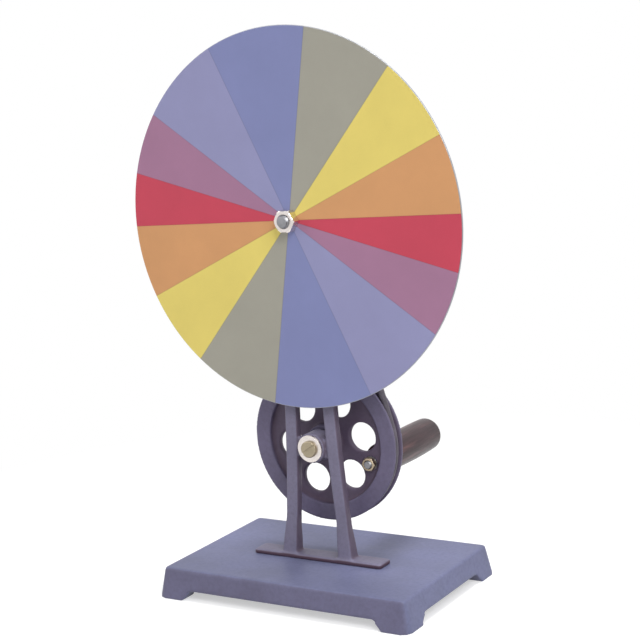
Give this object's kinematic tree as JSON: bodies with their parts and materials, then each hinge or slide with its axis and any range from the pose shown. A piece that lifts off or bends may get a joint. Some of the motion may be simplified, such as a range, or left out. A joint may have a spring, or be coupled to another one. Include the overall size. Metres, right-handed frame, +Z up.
{
  "type": "newton color disc with crank",
  "caption": "Hand-cranked colour disc: a grooved wheel with a crank handle drives a small pulley by a round belt and spins a large disc of coloured sectors on a cast stand.",
  "frame": {"origin": "on the bench, in the middle of the machine's width and of its whole depth from the front of the base to the end of the crank handle", "axes": "+Z up, +X to the right seen from the disc's coloured side, +Y from the disc back towards the crank handle, parallel to the spindle and the wheel's axle"},
  "size_m": [0.23, 0.1448, 0.348],
  "materials": {
    "base_paint": "blue-grey hammered enamel on a casting, satin",
    "frame_paint": "grey-violet enamel on a casting, satin",
    "wheel_paint": "dark grey-violet enamel on a casting, satin",
    "steel": "turned steel, satin",
    "bright_plate": "bright nickel plate",
    "brass": "turned brass, slightly dulled",
    "bronze": "bearing bronze, bare",
    "belt_cord": "round drive belt, matt",
    "handle_wood": "dark stained and varnished turned wood",
    "disc_metal": "sheet aluminium, satin",
    "sector_green": "grey-green paper, matt",
    "sector_yellow": "yellow paper, matt",
    "sector_orange": "orange paper, matt",
    "sector_red": "red paper, matt",
    "sector_violet": "violet paper, matt",
    "sector_indigo": "light indigo paper, matt",
    "sector_blue": "blue paper, matt"
  },
  "bodies": {
    "stand": {"base_casting": "base_paint", "upright_frame": "frame_paint", "foot_washers": "steel", "foot_screws": "steel", "front_spindle_bush": "bronze", "rear_spindle_bush": "bronze", "axle_bolt": "brass", "axle_front_washer": "bright_plate", "axle_thrust_washer": "steel", "axle_end_washer": "steel", "axle_nut": "steel", "axle_lock_nut": "steel", "drive_belt": "belt_cord"},
    "wheel": {"drive_wheel": "wheel_paint", "wheel_hub_bush": "bronze", "crank_pin": "steel", "crank_pin_washer": "steel", "crank_pin_nut": "brass", "handle_end_washer": "steel"},
    "grip": {"handle_grip": "handle_wood"},
    "disc": {"disc_spindle": "steel", "disc_backing_flange": "steel", "flange_grub_screw": "steel", "disc_plate": "disc_metal", "disc_nut": "bright_plate", "driven_pulley": "brass", "pulley_grub_screw": "steel", "green_sectors": "sector_green", "yellow_sectors": "sector_yellow", "orange_sectors": "sector_orange", "red_sectors": "sector_red", "violet_sectors": "sector_violet", "indigo_sectors": "sector_indigo", "blue_sectors": "sector_blue"}
  },
  "joints": [
    {"name": "wheel_spin", "type": "hinge", "parent": "stand", "child": "wheel", "pos_m": [0, -0.0012, 0.0907], "axis": [0, 1, 0], "continuous": true},
    {"name": "grip_spin", "type": "hinge", "parent": "wheel", "child": "grip", "pos_m": [0.03126, 0.0394, 0.07895], "axis": [0, 1, 0], "continuous": true},
    {"name": "disc_spin", "type": "hinge", "parent": "stand", "child": "disc", "pos_m": [0, -0.0131, 0.233], "axis": [0, 1, 0], "continuous": true}
  ],
  "couplings": [
    {"joint": "disc_spin", "follows": "wheel_spin", "ratio": 5}
  ]
}
